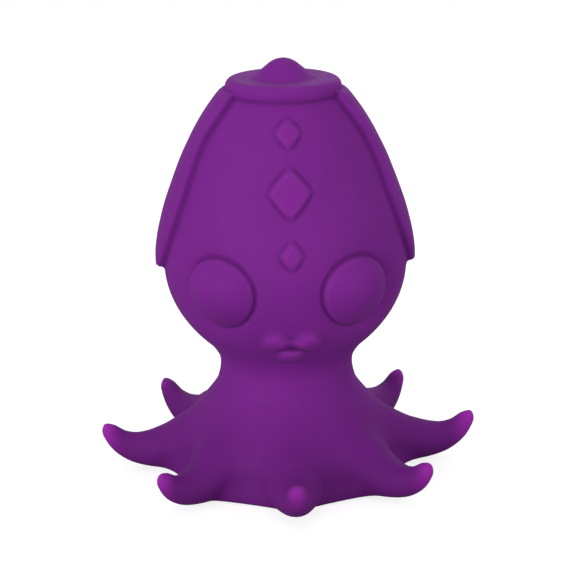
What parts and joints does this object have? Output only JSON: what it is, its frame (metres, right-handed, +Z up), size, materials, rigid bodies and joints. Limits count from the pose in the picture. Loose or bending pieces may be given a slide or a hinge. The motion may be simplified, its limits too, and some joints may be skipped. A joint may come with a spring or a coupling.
{
  "type": "hand massager",
  "caption": "Palm-held silicone massager in the form of a standing octopus, with curled soft arms round its foot and a push-button crown.",
  "frame": {"origin": "on the surface it stands on, under the axis of the head", "axes": "+Z up, the face looks along -Y, +X is to the right of someone looking at the face"},
  "size_m": [0.0966, 0.0966, 0.11],
  "materials": {
    "silicone": "matte satin purple silicone",
    "casing_plastic": "fine texture, moulded off-white",
    "base_plastic": "satin dark purple",
    "button_plastic": "moulded",
    "screw_steel": "zinc plated",
    "seal_rubber": "matte black",
    "foam": "closed-cell foam",
    "contact_gold": "gold plated",
    "magnet_nickel": "nickel plated",
    "board_green": "solder resist",
    "chip_black": "moulded epoxy",
    "led_lens": "clear resin over a chip",
    "socket_white": "moulded nylon",
    "cell_sleeve": "shrunk film sleeve",
    "motor_steel": "nickel plated can",
    "motor_cap_plastic": "moulded nylon",
    "bush_bronze": "sintered",
    "ferrite": "pressed ferrite",
    "winding_copper": "enamelled wire",
    "shaft_steel": "ground",
    "weight_brass": "turned",
    "lead_red": "wire insulation",
    "lead_black": "wire insulation"
  },
  "bodies": {
    "body": {"silicone_skin": "silicone", "front_casing": "casing_plastic", "rear_casing": "casing_plastic", "base_cover": "base_plastic", "casing_screws": "screw_steel", "base_screws": "screw_steel", "base_seal": "seal_rubber", "motor_sleeve": "seal_rubber", "battery_pads": "foam", "charge_contacts": "contact_gold", "motor_terminals": "contact_gold", "charge_magnets": "magnet_nickel", "main_board": "board_green", "charge_board": "board_green", "protection_board": "board_green", "board_chips": "chip_black", "tact_switch": "chip_black", "status_led": "led_lens", "wire_sockets": "socket_white", "battery_cell": "cell_sleeve", "motor_can": "motor_steel", "motor_end_cap": "motor_cap_plastic", "motor_bushes": "bush_bronze", "motor_magnets": "ferrite", "motor_lead_red": "lead_red", "battery_lead_red": "lead_red", "charge_lead_red": "lead_red", "motor_lead_black": "lead_black", "battery_lead_black": "lead_black", "charge_lead_black": "lead_black"},
    "crown_button": {"button_dome": "silicone", "button_plunger": "button_plastic", "switch_stem": "button_plastic"},
    "motor_rotor": {"motor_shaft": "shaft_steel", "motor_armature": "winding_copper", "eccentric_weight": "weight_brass"},
    "arm_front": {"arm_front": "silicone"},
    "arm_front_right": {"arm_front_right": "silicone"},
    "arm_right": {"arm_right": "silicone"},
    "arm_back_right": {"arm_back_right": "silicone"},
    "arm_back": {"arm_back": "silicone"},
    "arm_back_left": {"arm_back_left": "silicone"},
    "arm_left": {"arm_left": "silicone"},
    "arm_front_left": {"arm_front_left": "silicone"}
  },
  "joints": [
    {"name": "crown_press", "type": "slide", "parent": "body", "child": "crown_button", "axis": [0, 0, -1], "range_m": [0, 0.0008], "stiffness_N_per_m": 1500},
    {"name": "motor_spin", "type": "hinge", "parent": "body", "child": "motor_rotor", "pos_m": [0, 0, 0.068], "axis": [1, 0, 0], "continuous": true},
    {"name": "arm_front_flex", "type": "hinge", "parent": "body", "child": "arm_front", "pos_m": [0, -0.029, 0.0063], "axis": [-1, 0, 0], "range_deg": [-20, 35], "stiffness_Nm_per_rad": 0.05},
    {"name": "arm_front_right_flex", "type": "hinge", "parent": "body", "child": "arm_front_right", "pos_m": [0.02051, -0.02051, 0.0063], "axis": [-0.7071, -0.7071, 0], "range_deg": [-20, 35], "stiffness_Nm_per_rad": 0.05},
    {"name": "arm_right_flex", "type": "hinge", "parent": "body", "child": "arm_right", "pos_m": [0.029, 0, 0.0063], "axis": [0, -1, 0], "range_deg": [-20, 35], "stiffness_Nm_per_rad": 0.05},
    {"name": "arm_back_right_flex", "type": "hinge", "parent": "body", "child": "arm_back_right", "pos_m": [0.02051, 0.02051, 0.0063], "axis": [0.7071, -0.7071, 0], "range_deg": [-20, 35], "stiffness_Nm_per_rad": 0.05},
    {"name": "arm_back_flex", "type": "hinge", "parent": "body", "child": "arm_back", "pos_m": [0, 0.029, 0.0063], "axis": [1, 0, 0], "range_deg": [-20, 35], "stiffness_Nm_per_rad": 0.05},
    {"name": "arm_back_left_flex", "type": "hinge", "parent": "body", "child": "arm_back_left", "pos_m": [-0.02051, 0.02051, 0.0063], "axis": [0.7071, 0.7071, 0], "range_deg": [-20, 35], "stiffness_Nm_per_rad": 0.05},
    {"name": "arm_left_flex", "type": "hinge", "parent": "body", "child": "arm_left", "pos_m": [-0.029, 0, 0.0063], "axis": [0, 1, 0], "range_deg": [-20, 35], "stiffness_Nm_per_rad": 0.05},
    {"name": "arm_front_left_flex", "type": "hinge", "parent": "body", "child": "arm_front_left", "pos_m": [-0.02051, -0.02051, 0.0063], "axis": [-0.7071, 0.7071, 0], "range_deg": [-20, 35], "stiffness_Nm_per_rad": 0.05}
  ]
}
